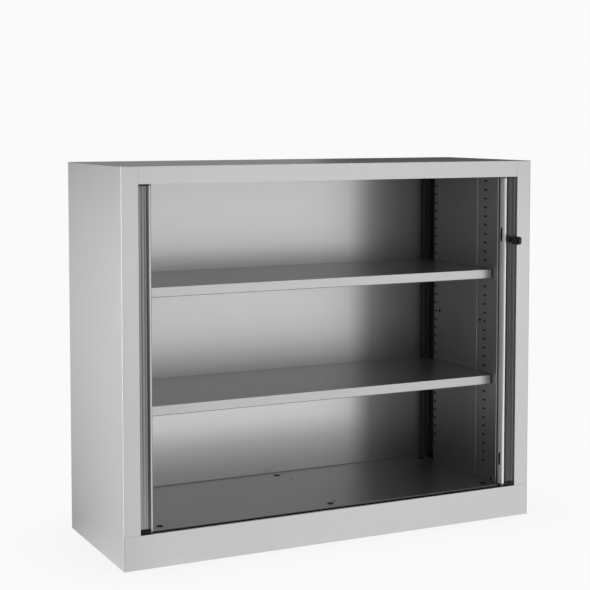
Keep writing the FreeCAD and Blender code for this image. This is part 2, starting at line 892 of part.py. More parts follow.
def stile(name, side):
    body = new_body(f"{name}_stile")
    section = faced(stile_section(), side * knuckle_x, side, track_front, -1)
    pad(body, XY, section, stile_high - stile_low, offset=stile_low)
    pocket(body, YZ, hook_opening)

    def insert_opening(sketch):
        y1, z1 = insert_front + insert_width, insert_low + insert_height
        outline(sketch, rectangle(insert_front, y1, insert_low, z1))

    pocket(body, YZ, insert_opening)
    if side > 0:
        lock_hole(body, lock_shank_radius)
        lock_hole(body, lock_head_radius, depth_back=track_front - rib_front)
    return node(body, f"{name}_stile")


def across(side, inner, outer):
    """Lower and upper x of something between two distances from the middle, on one side."""
    return (inner, outer) if side > 0 else (-outer, -inner)


def stile_caps(name, side):
    """Top and bottom caps, with tongues that run in the track's groove."""
    cap_x = across(side, stile_lead + cap_inset, knuckle_x - stile_wall)
    tongue_x = across(side, stile_lead + stile_wall, knuckle_x - stile_wall * 2)
    tongue_half = groove / 2 - tongue_play
    tongue_y = track_front - tongue_half, track_front + tongue_half
    cap_y = stile_front + cap_inset, stile_rear - cap_inset
    bottom = fuse([
        box(*cap_x, *cap_y, stile_low - cap_thickness, stile_low),
        box(*tongue_x, *tongue_y, slat_low, stile_low),
    ])
    top = fuse([
        box(*cap_x, *cap_y, stile_high, stile_high + cap_thickness),
        box(*tongue_x, *tongue_y, stile_high, slat_high),
    ])
    return node(group([bottom, top]), f"{name}_stile_caps")


def catch_insert(name, side):
    """A plastic cup pressed into the lower opening of a leading face."""
    y0, y1 = insert_front, insert_front + insert_width
    z0, z1 = insert_low, insert_low + insert_height
    deep = stile_lead + insert_depth
    cup = box(*across(side, stile_lead, deep), y0, y1, z0, z1)
    hollow = box(
        *across(side, stile_lead - insert_wall, deep - insert_wall),
        y0 + insert_wall, y1 - insert_wall, z0 + insert_wall, z1 - insert_wall,
    )
    return node(cut(cup, hollow), f"{name}_catch_insert")


def strike_plate():
    """A steel plate behind the left stile's slot, which the hook catches."""
    wall = stile_lead + stile_wall
    y0, y1 = hook_slot_front, hook_slot_front + hook_slot_width
    z0, z1 = lock_level - hook_slot_low, lock_level + hook_slot_high
    plate = box(
        -wall - strike_thickness, -wall, y0 - strike_front_lap, y1 + strike_rear_lap,
        z0 - strike_margin, z1 + strike_margin,
    )
    opening = box(-wall - strike_thickness * 2, -stile_lead, y0, y1, z0, z1)
    return node(cut(plate, opening), "left_strike_plate")


# Lock, each piece drawn about its turning axis

def lock_node(body, label):
    return node(body, label, x=lock_x, z=lock_level)


def lock_barrel():
    body = new_body("barrel")
    bore, seat = core_radius + lock_play, track_front - rib_front
    revolve(body, XY, [
        (bore, dim(0)), (lock_head_radius, dim(0)), (lock_head_radius, seat),
        (lock_shank_radius, seat), (lock_shank_radius, barrel_end), (bore, barrel_end),
    ])
    return lock_node(body, "lock_barrel")


def square(half_side):
    return rectangle(-half_side, half_side, -half_side, half_side)


def lock_core():
    """The turning core: a collar before the barrel, a keyway, and a square end that drives the hook."""
    body = new_body("core")
    collar_back = -lock_play
    collar_front = collar_back - collar_thickness
    core_end = hook_front - lock_play
    drive_end = hook_front + hook_thickness + gauge
    revolve(body, XY, [
        (dim(0), collar_front), (core_collar, collar_front), (core_collar, collar_back),
        (core_radius, collar_back), (core_radius, core_end), (dim(0), core_end),
    ])
    pad(body, XZ, square(drive_half), drive_end - core_end, offset=-drive_end)
    x, z = blade_thickness / 2 + lock_play, blade_height / 2 + lock_play
    pocket(
        body, XZ, lambda sketch: outline(sketch, rectangle(-x, x, -z, z)),
        offset=-collar_front, both_ways=False, length=blade_depth + lock_play - collar_front,
    )
    return lock_node(body, "lock_core")


def lock_hook():
    """The hook, standing up inside the stile while the lock is open."""
    body = new_body("hook")
    points = [
        (-hook_half, -hook_hub), (hook_half - gauge, -hook_hub), (hook_half - gauge, hook_reach),
        (-barb_depth, hook_reach), (-barb_depth, barb_start), (-hook_half, barb_start),
    ]
    pad(body, XZ, points, hook_thickness, offset=-hook_front - hook_thickness)
    pocket(body, XZ, lambda sketch: outline(sketch, square(drive_half)))
    return lock_node(body, "lock_hook")


def lock_key():
    """The key: a flat bow with a ring hole, and a blade in the keyway."""
    body = new_body("key")
    neck, top, tip = key_neck_height / 2, key_bow_height / 2, -key_reach
    shoulder = -key_bow_front - key_bow_round
    bow = [
        (-key_bow_front, -neck), (shoulder, -top),
        *round_corner((shoulder, -top), (tip, -top), (tip, top), key_bow_round),
        *round_corner((tip, -top), (tip, top), (shoulder, top), key_bow_round),
        (shoulder, top), (-key_bow_front, neck),
    ]
    pad(body, YZ, bow, key_bow_thickness, both_ways=True)
    pocket(body, YZ, lambda sketch: circle(sketch, tip + key_ring_inset, dim(0), key_ring_radius))
    blade = rectangle(-key_bow_front - gauge, blade_depth, -blade_height / 2, blade_height / 2)
    pad(body, YZ, blade, blade_thickness, both_ways=True)
    return lock_node(body, "lock_key")


# Levelling feet

def hexagon(x, y, z, radius, thickness):
    prism = doc.addObject("Part::Prism", "hexagon")
    prism.Polygon = 6
    bind(prism, Circumradius=radius, Height=thickness)
    bind(prism, Placement__Base__x=x, Placement__Base__y=y, Placement__Base__z=z)
    return prism


def foot(name, x, y):
    """A levelling foot: a hexagonal pad under a screwed stud."""
    top = foot_lift + pad_thickness
    stud = upright_cylinder(dim(0), dim(0), top, stud_top, stud_radius)
    pieces = fuse([hexagon(dim(0), dim(0), foot_lift, pad_radius, pad_thickness), stud])
    return node(pieces, f"{name}_foot", x=x, y=y)


def foot_nut(x, y):
    low = pan_level - foot_nut_height
    nut = hexagon(x, y, low, foot_nut_radius, foot_nut_height)
    return cut(nut, upright_cylinder(x, y, low - gauge, pan_top, stud_radius + stud_play))


def build_carcass():
    for name, side in SIDES.items():
        side_panel(name, side)
        pilaster(name, side)
        liner(name, side)
        track(name, side, pan_top, pan_top + track_height, "lower")
        track(name, side, upper_pan, upper_pan - track_height, "upper")
    for make in (top_panel, front_plinth, rear_plinth, outer_back, inner_back):
        make()
    for make in (bottom_pan, upper_pan_tray, base_floor, ceiling_panel):
        make()
    for name, slot_number in (("upper", upper_shelf_count), ("lower", lower_shelf_count)):
        shelf(name, slot_number)
        shelf_clips(name, slot_number)
    for name, x, y in foot_places():
        foot(name, x, y)
    node(group([foot_nut(x, y) for _, x, y in foot_places()]), "foot_nuts")


def build_doors():
    for name, side in SIDES.items():
        stile(name, side)
        stile_caps(name, side)
        catch_insert(name, side)
        curtain(name, side)
    strike_plate()
    for make in (lock_barrel, lock_core, lock_hook, lock_key):
        make()


def check():
    """Stop at any object that failed, and at any piece without a sound solid."""
    for item in doc.Objects:
        if "Invalid" in item.State or "Error" in item.State:
            raise ValueError(f"{item.Label} failed: {item.State}")
    for item in nodes:
        if item.Shape.isNull() or not item.Shape.isValid() or item.Shape.Volume <= 0:
            raise ValueError(f"{item.Label} has no sound solid")


build_carcass()
build_doors()
doc.recompute()
check()
os.makedirs("parts", exist_ok=True)
for item in nodes:
    item.Shape.exportStep(f"parts/{item.Label}.step")
print(len(nodes), "pieces")
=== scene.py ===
import json
import math

import bmesh
import bpy
from mathutils import Euler, Matrix, Vector


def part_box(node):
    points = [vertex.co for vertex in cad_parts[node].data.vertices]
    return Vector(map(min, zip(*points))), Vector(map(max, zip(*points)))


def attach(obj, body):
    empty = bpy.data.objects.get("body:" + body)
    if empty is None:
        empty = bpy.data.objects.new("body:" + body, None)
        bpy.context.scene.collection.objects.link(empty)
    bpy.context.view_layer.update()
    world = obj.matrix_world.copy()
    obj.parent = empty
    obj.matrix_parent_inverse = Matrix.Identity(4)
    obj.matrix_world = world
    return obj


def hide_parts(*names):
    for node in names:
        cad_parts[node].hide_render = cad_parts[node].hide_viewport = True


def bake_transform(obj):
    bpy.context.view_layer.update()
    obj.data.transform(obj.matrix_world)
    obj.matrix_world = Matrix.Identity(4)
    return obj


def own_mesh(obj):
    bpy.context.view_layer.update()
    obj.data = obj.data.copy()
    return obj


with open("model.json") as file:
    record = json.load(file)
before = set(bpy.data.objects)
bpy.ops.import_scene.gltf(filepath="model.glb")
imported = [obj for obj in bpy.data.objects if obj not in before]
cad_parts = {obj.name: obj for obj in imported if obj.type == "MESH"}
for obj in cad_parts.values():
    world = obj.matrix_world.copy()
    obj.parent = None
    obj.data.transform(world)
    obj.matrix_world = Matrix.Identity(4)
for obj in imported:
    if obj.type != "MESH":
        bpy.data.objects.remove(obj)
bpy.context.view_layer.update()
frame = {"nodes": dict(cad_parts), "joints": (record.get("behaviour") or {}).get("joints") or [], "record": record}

# All lengths are in metres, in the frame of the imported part.
MM = 0.001
FRONT_FACE_Y = -0.1915
FLOOR_LEVEL = 88 * MM
SIDES = {"left": -1, "right": 1}


def behind_front(*depths):
    """Places on the y axis, given in millimetres behind the front face."""
    return tuple(FRONT_FACE_Y + depth * MM for depth in depths)


# Shader building blocks

COOL_TINT = (1, 1.004, 1.008)
NUMBER_MIX_SOCKETS = (0, 2, 3)
COLOUR_MIX_SOCKETS = (0, 6, 7)


def shade(grey, share=1):
    """A neutral grey, a little cool, lightened or darkened by a share."""
    return tuple(grey * share * tint for tint in COOL_TINT)


def feed(tree, socket, value):
    """Set a socket to a number or a colour, or link another node's output to it."""
    if isinstance(value, (int, float)):
        socket.default_value = value
    elif isinstance(value, tuple):
        socket.default_value = (*value, 1)
    else:
        tree.links.new(value, socket)


def between(tree, share, first, second):
    """A number between two others, by a share from 0 to 1."""
    made = tree.nodes.new("ShaderNodeMix")
    for number, value in zip(NUMBER_MIX_SOCKETS, (share, first, second)):
        feed(tree, made.inputs[number], value)
    return made.outputs[0]


class Finish:
    """One material with a Principled shader and the nodes that vary it."""

    def __init__(self, name, **even_values):
        self.material = bpy.data.materials.new(name)
        self.material.use_nodes = True
        self.tree = self.material.node_tree
        self.shader = self.tree.nodes["Principled BSDF"]
        for socket, value in even_values.items():
            self.shader.inputs[socket.replace("_", " ")].default_value = value
        self.place = self.node("ShaderNodeTexCoord").outputs["Object"]

    def node(self, kind, **settings):
        made = self.tree.nodes.new(kind)
        for key, value in settings.items():
            setattr(made, key, value)
        return made

    def link(self, source, target):
        self.tree.links.new(source, target)

    def axes(self):
        """The piece's own coordinates, one by one."""
        parts = self.node("ShaderNodeSeparateXYZ")
        self.link(self.place, parts.inputs[0])
        return parts.outputs

    def along(self, direction):
        """How far the piece's coordinates reach in one direction."""
        dot = self.node("ShaderNodeVectorMath", operation="DOT_PRODUCT")
        self.link(self.place, dot.inputs[0])
        dot.inputs[1].default_value = direction
        return dot.outputs["Value"]

    def stretched(self, x, y, z):
        """The piece's own coordinates, scaled along each axis."""
        mapping = self.node("ShaderNodeMapping")
        mapping.inputs["Scale"].default_value = (x, y, z)
        self.link(self.place, mapping.inputs["Vector"])
        return mapping.outputs["Vector"]

    def noise(self, cells, detail, where=None):
        """A soft random pattern with so many cells in a metre, or in a unit of stretched coordinates."""
        made = self.node("ShaderNodeTexNoise")
        made.inputs["Scale"].default_value = cells
        made.inputs["Detail"].default_value = detail
        self.link(where or self.place, made.inputs["Vector"])
        return made.outputs["Fac"]

    def spread(self, value, low, high, start=0.3, end=0.7):
        """Spread what runs from start to end over another range. A noise keeps the usual start and end."""
        made = self.node("ShaderNodeMapRange")
        for socket, number in (("From Min", start), ("From Max", end), ("To Min", low), ("To Max", high)):
            made.inputs[socket].default_value = number
        self.link(value, made.inputs["Value"])
        return made.outputs["Result"]

    def maths(self, operation, *values):
        """One step of arithmetic on numbers and other nodes' outputs."""
        made = self.node("ShaderNodeMath", operation=operation)
        for socket, value in zip(made.inputs, values):
            feed(self.tree, socket, value)
        return made.outputs["Value"]

    def distance(self, value, middle):
        """How far a coordinate lies from a middle, to either side."""
        return self.maths("ABSOLUTE", self.maths("SUBTRACT", value, middle))

    def mix(self, share, first, second):
        """Mix two colours, each given as a colour or as another node's output."""
        made = self.node("ShaderNodeMix", data_type="RGBA")
        for number, value in zip(COLOUR_MIX_SOCKETS, (share, first, second)):
            feed(self.tree, made.inputs[number], value)
        return made.outputs[2]

    def mottled(self, pattern, grey, low, high):
        """A grey that a pattern varies between a low and a high share."""
        return self.mix(self.spread(pattern, 0, 1), shade(grey, low), shade(grey, high))

    def eased(self, radius):
        """The surface direction with the piece's edges rounded over."""
        bevel = self.node("ShaderNodeBevel", samples=4)
        bevel.inputs["Radius"].default_value = radius
        return bevel.outputs["Normal"]

    def edges(self, eased):
        """A mask that is 1 along the piece's outer and inner edges."""
        plain = self.node("ShaderNodeNewGeometry").outputs["Normal"]
        dot = self.node("ShaderNodeVectorMath", operation="DOT_PRODUCT")
        self.link(eased, dot.inputs[0])
        self.link(plain, dot.inputs[1])
        return self.spread(self.maths("SUBTRACT", 1.0, dot.outputs["Value"]), 0, 1, start=0.02, end=0.25)

    def colour(self, value):
        self.link(value, self.shader.inputs["Base Color"])

    def metallic(self, value):
        self.link(value, self.shader.inputs["Metallic"])

    def metallic_over(self, mask, level):
        """Change the even metallic value to another level over a mask."""
        even = self.shader.inputs["Metallic"].default_value
        self.metallic(self.spread(mask, even, level, start=0, end=1))

    def roughness(self, pattern, rough, less, more):
        """Let a pattern vary the roughness around its usual value."""
        self.link(self.spread(pattern, rough - less, rough + more), self.shader.inputs["Roughness"])

    def bump(self, height, depth, strength, after=None):
        """Let a pattern dent the surface, whose direction may have been turned before."""
        made = self.node("ShaderNodeBump")
        made.inputs["Strength"].default_value = strength
        made.inputs["Distance"].default_value = depth
        self.link(height, made.inputs["Height"])
        if after is not None:
            self.link(after, made.inputs["Normal"])
        self.link(made.outputs["Normal"], self.shader.inputs["Normal"])


# Silver coat of the sheets, with painted light and shade. A pair holds the two places between which a painted
# shade or highlight fades in or out, apart from SLOT_COLUMNS, the middles of two columns. A share is a part of the
# coat's own grey.

PALEST_EDGE = 0.92
# Painted highlight along the carcass's two upright front corners.
CORNER_RIM = (597 * MM, 598 * MM)
FRONT_RIM = behind_front(1.5, 2.5)
CORNER_HIGHLIGHT_GREY = 0.95
# Painted highlight along the linings' folded front rim.
LIT_RIM = behind_front(36.5, 37.5)
LIT_RIM_HIGHLIGHT_GREY = 0.9
# Painted shade darkening the linings towards the bottom.
LOW_SHADE = (120 * MM, 400 * MM)
LOW_SHADE_SHARE = 0.6
# Painted shade over the shelf slots and a narrow rim round each.
SLOT_COLUMNS = behind_front(98.5, 360)
SLOT_FIRST = 141 * MM
SLOT_PITCH = 25 * MM
SLOT_REACH = 6.6 * MM
SLOT_HALF = 2.3 * MM
SLOT_FADE = 0.4 * MM
SLOT_SHADE_GREY = 0.005
# Painted light in the inner back's lower bay.
LOW_BAY_START = (190 * MM, 250 * MM)
LOW_BAY_END = (368 * MM, 372 * MM)
LOW_BAY_LIGHT_SHARE = 1.2
# Painted shade at the inner back's right end, deeper low down.
SHADED_END = (250 * MM, 325 * MM)
END_RISE = (250 * MM, 800 * MM)
LOW_END_SHADE_SHARE = 0.52
HIGH_END_SHADE_SHARE = 0.68
# Painted shade lines along the lower edges of the shelf lips and of the inner back.
SHELF_RIM = 1.4 * MM
BACK_RIM = 2.1 * MM
RIM_FADE = 0.4 * MM
RIM_SHADE_SHARE = 0.45


def shelf_slot_shades(coat):
    """A mask over the shelf slots and a narrow rim round them, which are painted dark as shade."""
    _, y, z = coat.axes()
    columns = [coat.distance(y, column) for column in SLOT_COLUMNS]
    sideways = coat.spread(coat.maths("MINIMUM", *columns), 1, 0, SLOT_REACH, SLOT_REACH + SLOT_FADE)
    level = coat.maths("PINGPONG", coat.maths("SUBTRACT", z, SLOT_FIRST), SLOT_PITCH / 2)
    upright = coat.spread(level, 1, 0, SLOT_HALF, SLOT_HALF + SLOT_FADE)
    above = coat.maths("GREATER_THAN", z, SLOT_FIRST - SLOT_PITCH / 2)
    return coat.maths("MULTIPLY", coat.maths("MULTIPLY", sideways, upright), above)


def lower_rim(coat, level, height):
    """A mask along a sheet's lower edge, painted dark as the shade it lies in."""
    z = coat.axes()[2]
    rim = coat.spread(z, 1, 0, level + height, level + height + RIM_FADE)
    return coat.maths("MULTIPLY", rim, coat.maths("GREATER_THAN", z, level - RIM_FADE))


def carcass_painted_light(coat, tone, _grey):
    """The carcass: a painted highlight, a bright line along both upright front corners where its sheets are
    folded.
    """
    x, y, _ = coat.axes()
    outer = coat.spread(coat.distance(x, 0), 0, 1, *CORNER_RIM)
    corners = coat.maths("MULTIPLY", outer, coat.spread(y, 1, 0, *FRONT_RIM))
    # Painted highlight: the corners turn matt and near white.
    coat.metallic_over(corners, 0)
    return coat.mix(corners, tone, shade(CORNER_HIGHLIGHT_GREY))


def lining_painted_light(coat, tone, grey):
    """The linings: a painted highlight on the front rim, painted shade darkening the lower end, and painted shade
    over the shelf slots.
    """
    _, y, z = coat.axes()
    # Painted highlight on the front rim.
    rim_highlighted = coat.mix(coat.spread(y, 1, 0, *LIT_RIM), tone, shade(LIT_RIM_HIGHLIGHT_GREY))
    # Painted shade low down.
    shaded_low = coat.mix(coat.spread(z, 1, 0, *LOW_SHADE), rim_highlighted, shade(grey, LOW_SHADE_SHARE))
    # Painted shade: near black and wholly metallic over the slots and their rims.
    slots = shelf_slot_shades(coat)
    coat.metallic_over(slots, 1)
    return coat.mix(slots, shaded_low, shade(SLOT_SHADE_GREY))


def back_painted_light(coat, tone, grey):
    """The inner back: painted light making its lower bay paler, painted shade at its right end, and a painted
    shade line along the floor.
    """
    x, _, z = coat.axes()
    # Painted light over the lower bay.
    above, below = coat.spread(z, 0, 1, *LOW_BAY_START), coat.spread(z, 1, 0, *LOW_BAY_END)
    lit_low_bay = coat.maths("MULTIPLY", above, below)
    low_bay_lit = coat.mix(lit_low_bay, tone, shade(grey, LOW_BAY_LIGHT_SHARE))
    # Painted shade towards the right end.
    end = coat.mix(coat.spread(z, 0, 1, *END_RISE), shade(grey, LOW_END_SHADE_SHARE), shade(grey, HIGH_END_SHADE_SHARE))
    end_shaded = coat.mix(coat.spread(x, 0, 1, *SHADED_END), low_bay_lit, end)
    # Painted shade line along the inner back's lower edge.
    return coat.mix(lower_rim(coat, FLOOR_LEVEL, BACK_RIM), end_shaded, shade(grey, RIM_SHADE_SHARE))


def shelf_painted_shade(coat, tone, grey):
    """The shelves: a dark line of painted shade along the lower edge of each lip."""
    for row in ("lower", "upper"):
        rim = lower_rim(coat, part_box(f"{row}_shelf")[0].z, SHELF_RIM)
        tone = coat.mix(rim, tone, shade(grey, RIM_SHADE_SHARE))
    return tone


def silver_coat(name, grey, rough, painted_light, metallic=0.9, edge_wear_and_highlight=1.5):
    """Satin silver powder coat: fine flakes, faint clouds, orange peel, and paler edges that are partly wear and
    partly a painted highlight.
    """
    coat = Finish(name, Metallic=metallic)
    flaked = coat.mottled(coat.noise(cells=2600, detail=1), grey, low=0.95, high=1.05)
    clouded = coat.mottled(coat.noise(cells=5.5, detail=3), grey, low=0.99, high=1.01)
    eased = coat.eased(radius=1.6 * MM)
    # The paler edges are partly wear from rubbing and partly a painted highlight.
    rubs = coat.spread(coat.noise(cells=60, detail=4), low=0.25, high=0.9)
    rubbed_and_highlighted = coat.maths("MULTIPLY", coat.edges(eased), rubs)
    tone = coat.mix(rubbed_and_highlighted, coat.mix(0.5, flaked, clouded), shade(min(grey * edge_wear_and_highlight, PALEST_EDGE)))
    # Each kind of sheet's painted light and shade goes on top of its coat.
    coat.colour(painted_light(coat, tone, grey))
    coat.roughness(coat.noise(cells=400, detail=3), rough, less=0.01, more=0.01)
    coat.bump(coat.noise(cells=650, detail=2), depth=0.04 * MM, strength=0.35, after=eased)
    return coat.material


# Drawn aluminium of the stiles

MIDDLE = (-100 * MM, 100 * MM)
STILE_LINES = (1800, 1800, 5)
LINE_STRENGTH = 0.12
LINE_SHARE = 0.6
LEAD_METAL = 0.05
# Painted shade over the rear of the leading faces, half and then deep.
LEAD_HALF_SHADE = behind_front(21, 30)
HALF_SHADE_SHARE = 0.5
LEAD_REAR = behind_front(29, 31)
LEAD_REAR_SHADE_GREY = 0.03
# Painted shadow round the hook's slot.
HOOK_Y = FRONT_FACE_Y + 22 * MM
HOOK_Z = 794 * MM
HOOK_OVAL = (5 * MM, 21 * MM)
HOOK_FADE = (0.8, 1.1)
HOOK_SHADOW_GREY = 0.008
NOSE_METAL = 0.7
NOSE_START = (519.4 * MM, 521.5 * MM)
# Painted shade on the left stile's nose.
LEFT_NOSE_SHADE_SHARE = 0.66
RIGHT_NOSE_REACH = 3.5 * MM
HOLLOW_START = (525 * MM, 526 * MM)
# Painted shade in the finger hollows, deeper on the right stile.
LEFT_HOLLOW_SHADE_GREY = 0.16
RIGHT_HOLLOW_SHADE_GREY = 0.05
RIBS_START = (531.2 * MM, 531.7 * MM)
LEFT_RIBS_GREY = 0.36
# Painted shade over the right stile's ribs, and painted light and shade across its flutes.
RIGHT_RIBS_SHADE_GREY = 0.115
CREST_HIGHLIGHT_SHARE = 1.4
VALLEY_SHADE_SHARE = 0.6
FLUTE_PITCH = 2.7 * MM
FLUTE_RIDGE = (FLUTE_PITCH * 0.22, FLUTE_PITCH * 0.28)
FLUTE_TILT = 0.28
STILE_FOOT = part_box("left_stile")[0].z
# Painted shade at the foot of the stiles and their caps, under the hollow and ribs.
SHOE_SHADE = (STILE_FOOT + 3 * MM, STILE_FOOT + 6 * MM)
SHOE_SHADE_GREY = 0.015


def hook_shadow(metal):
    """An oval mask round the hook's slot in a leading face, where a shadow is painted."""
    _, y, z = metal.axes()
    sideways = metal.maths("DIVIDE", metal.maths("SUBTRACT", y, HOOK_Y), HOOK_OVAL[0])
    upright = metal.maths("DIVIDE", metal.maths("SUBTRACT", z, HOOK_Z), HOOK_OVAL[1])
    reach = metal.maths("ADD", metal.maths("POWER", sideways, 2.0), metal.maths("POWER", upright, 2.0))
    return metal.spread(reach, 1, 0, *HOOK_FADE)


def lead_tone(metal, lines, right, grey):
    """A leading face: bright at the nose, with painted shade on the left nose, half and then deep painted shade to
    the rear, and a painted shadow round the hook's slot.
    """
    y = metal.axes()[1]
    # Painted shade darkens the left stile's nose.
    nose = metal.mix(right, shade(grey, LEFT_NOSE_SHADE_SHARE), shade(grey))
    lined = metal.mix(metal.spread(lines, 0, LINE_STRENGTH), nose, shade(grey, LINE_SHARE))
    # Painted shade towards the rear of the leading face.
    rear_half_shaded = metal.mix(metal.spread(y, 0, 1, *LEAD_HALF_SHADE), lined, shade(grey, HALF_SHADE_SHARE))
    rear_shaded = metal.mix(metal.spread(y, 0, 1, *LEAD_REAR), rear_half_shaded, shade(LEAD_REAR_SHADE_GREY))
    # Painted shadow round the hook's slot.
    return metal.mix(hook_shadow(metal), rear_shaded, shade(HOOK_SHADOW_GREY))


def rib_tone(metal, wave, right):
    """The ribs: even on the left stile; on the right one painted shade, with painted highlights on the flutes'
    crests and painted shade in their valleys.
    """
    valleys = metal.spread(wave, 0, 1, 0, FLUTE_PITCH / 2)
    flute_light_and_shade = metal.mix(valleys, shade(RIGHT_RIBS_SHADE_GREY, CREST_HIGHLIGHT_SHARE), shade(RIGHT_RIBS_SHADE_GREY, VALLEY_SHADE_SHARE))
    return metal.mix(right, shade(LEFT_RIBS_GREY), flute_light_and_shade)


def fluted(metal, wave, ribbed):
    """The surface direction, which fine flutes turn to one side and the other over the ribs."""
    turn = metal.spread(wave, -FLUTE_TILT, FLUTE_TILT, *FLUTE_RIDGE)
    sideways = metal.node("ShaderNodeCombineXYZ")
    metal.link(metal.maths("MULTIPLY", turn, ribbed), sideways.inputs["X"])
    turned = metal.node("ShaderNodeVectorMath", operation="ADD")
    metal.link(metal.node("ShaderNodeNewGeometry").outputs["Normal"], turned.inputs[0])
    metal.link(sideways.outputs[0], turned.inputs[1])
    return turned.outputs[0]


def drawn_aluminium(name, grey, rough):
    """Anodised extrusion: matt leading face, bright nose, finger hollow darkened by painted shade, and fluted
    ribs, with painted shade on the right ribs and at the foot.
    """
    metal = Finish(name)
    x, _, z = metal.axes()
    across = metal.distance(x, 0)
    right = metal.spread(x, 0, 1, *MIDDLE)
    lines = metal.noise(1, detail=4, where=metal.stretched(*STILE_LINES))
    wave = metal.maths("PINGPONG", x, FLUTE_PITCH / 2)
    past_nose = metal.maths("SUBTRACT", across, metal.maths("MULTIPLY", right, RIGHT_NOSE_REACH))
    hollow = metal.spread(past_nose, 0, 1, *HOLLOW_START)
    ribbed = metal.spread(past_nose, 0, 1, *RIBS_START)
    # Painted shade at the stile's foot.
    shaded_shoe = metal.maths("MULTIPLY", hollow, metal.spread(z, 1, 0, *SHOE_SHADE))
    # Painted shade in the finger hollow.
    hollow_shade_tone = metal.mix(right, shade(LEFT_HOLLOW_SHADE_GREY), shade(RIGHT_HOLLOW_SHADE_GREY))
    tone = metal.mix(hollow, lead_tone(metal, lines, right, grey), hollow_shade_tone)
    # Painted shade and highlights on the right stile's ribs.
    tone = metal.mix(ribbed, tone, rib_tone(metal, wave, right))
    metal.colour(metal.mix(shaded_shoe, tone, shade(SHOE_SHADE_GREY)))
    metal.metallic(metal.spread(across, LEAD_METAL, NOSE_METAL, *NOSE_START))
    metal.roughness(lines, rough, less=0.06, more=0.08)
    metal.bump(lines, depth=0.02 * MM, strength=0.5, after=fluted(metal, wave, ribbed))
    return metal.material


# Small metal and plastic

STEEL_SCRATCHES = (300, 2200, 900)
# Paler plastic edges: partly wear, partly a painted highlight.
WEAR_AND_HIGHLIGHT_GAIN = 2
WEAR_AND_HIGHLIGHT_LIFT = 0.03
SLAT_LINES = (1400, 1400, 4)
# Painted shade over the stored slats.
STORED_SHADE = behind_front(60, 80)
STORED_SHADE_SHARE = 0.2
# Painted light on the slat beside the right post.
LIT_SLAT = 554 * MM
LIT_SLAT_HALF = 3 * MM
LIT_SLAT_PAINTED_GREY = 0.6


def plated_steel(name, grey, rough):
    """Zinc or nickel plate: cloudy, lightly scratched and dulled in patches."""
    metal = Finish(name, Metallic=1.0)
    scratches = metal.noise(1, detail=6, where=metal.stretched(*STEEL_SCRATCHES))
    metal.colour(metal.mottled(metal.noise(cells=120, detail=5), grey, low=0.8, high=1.08))
    metal.roughness(scratches, rough, less=0.08, more=0.14)
    metal.bump(scratches, depth=0.02 * MM, strength=0.4)
    return metal.material


def moulded_plastic(name, grey, rough, gloss=0.45, shoe_shade_grey=None):
    """Matt moulded plastic with a fine grain and paler edges, partly wear and partly a painted highlight, and
    painted shade under the ribs if it is a stile's cap.
    """
    plastic = Finish(name, Metallic=0.0, Specular_IOR_Level=gloss)
    grains = plastic.noise(cells=900, detail=3)
    clouded = plastic.mottled(plastic.noise(cells=18, detail=3), grey, low=0.9, high=1.12)
    rubs = plastic.spread(plastic.noise(cells=90, detail=3), low=0.1, high=0.5)
    # Paler edges: partly wear, partly a painted highlight.
    edge_wear_and_highlight = plastic.maths("MULTIPLY", plastic.edges(plastic.eased(radius=0.8 * MM)), rubs)
    tone = plastic.mix(edge_wear_and_highlight, clouded, shade(min(1, grey * WEAR_AND_HIGHLIGHT_GAIN + WEAR_AND_HIGHLIGHT_LIFT)))
    if shoe_shade_grey:
        # Painted shade on a stile's cap under the hollow and ribs.
        across = plastic.distance(plastic.axes()[0], 0)
        tone = plastic.mix(plastic.spread(across, 0, 1, *HOLLOW_START), tone, shade(shoe_shade_grey))
    plastic.colour(tone)
    plastic.roughness(grains, rough, less=0.07, more=0.1)
    plastic.bump(grains, depth=0.05 * MM, strength=0.4)
    return plastic.material


def extruded_plastic(name, grey, rough):
    """Slat plastic with upright die lines: painted shade where stored, and painted light on the slat beside the
    right post.
    """
    plastic = Finish(name, Metallic=0.0, Specular_IOR_Level=0.5)
    x, y, z = plastic.axes()
    lines = plastic.noise(1, detail=3, where=plastic.stretched(*SLAT_LINES))
    drawn = plastic.mottled(lines, grey, low=0.9, high=1.1)
    # Painted shade over the stored slats.
    stored_shaded = plastic.mix(plastic.spread(y, 0, 1, *STORED_SHADE), drawn, shade(grey, STORED_SHADE_SHARE))
    # Painted light on the slat beside the right post.
    first = plastic.maths("LESS_THAN", plastic.distance(x, LIT_SLAT), LIT_SLAT_HALF)
    lit = plastic.maths("MULTIPLY", first, plastic.spread(z, 0, 1, *SHOE_SHADE))
    plastic.colour(plastic.mix(lit, stored_shaded, shade(LIT_SLAT_PAINTED_GREY)))
    plastic.roughness(plastic.noise(cells=25, detail=4), rough, less=0.05, more=0.05)
    plastic.bump(lines, depth=0.03 * MM, strength=0.4)
    return plastic.material


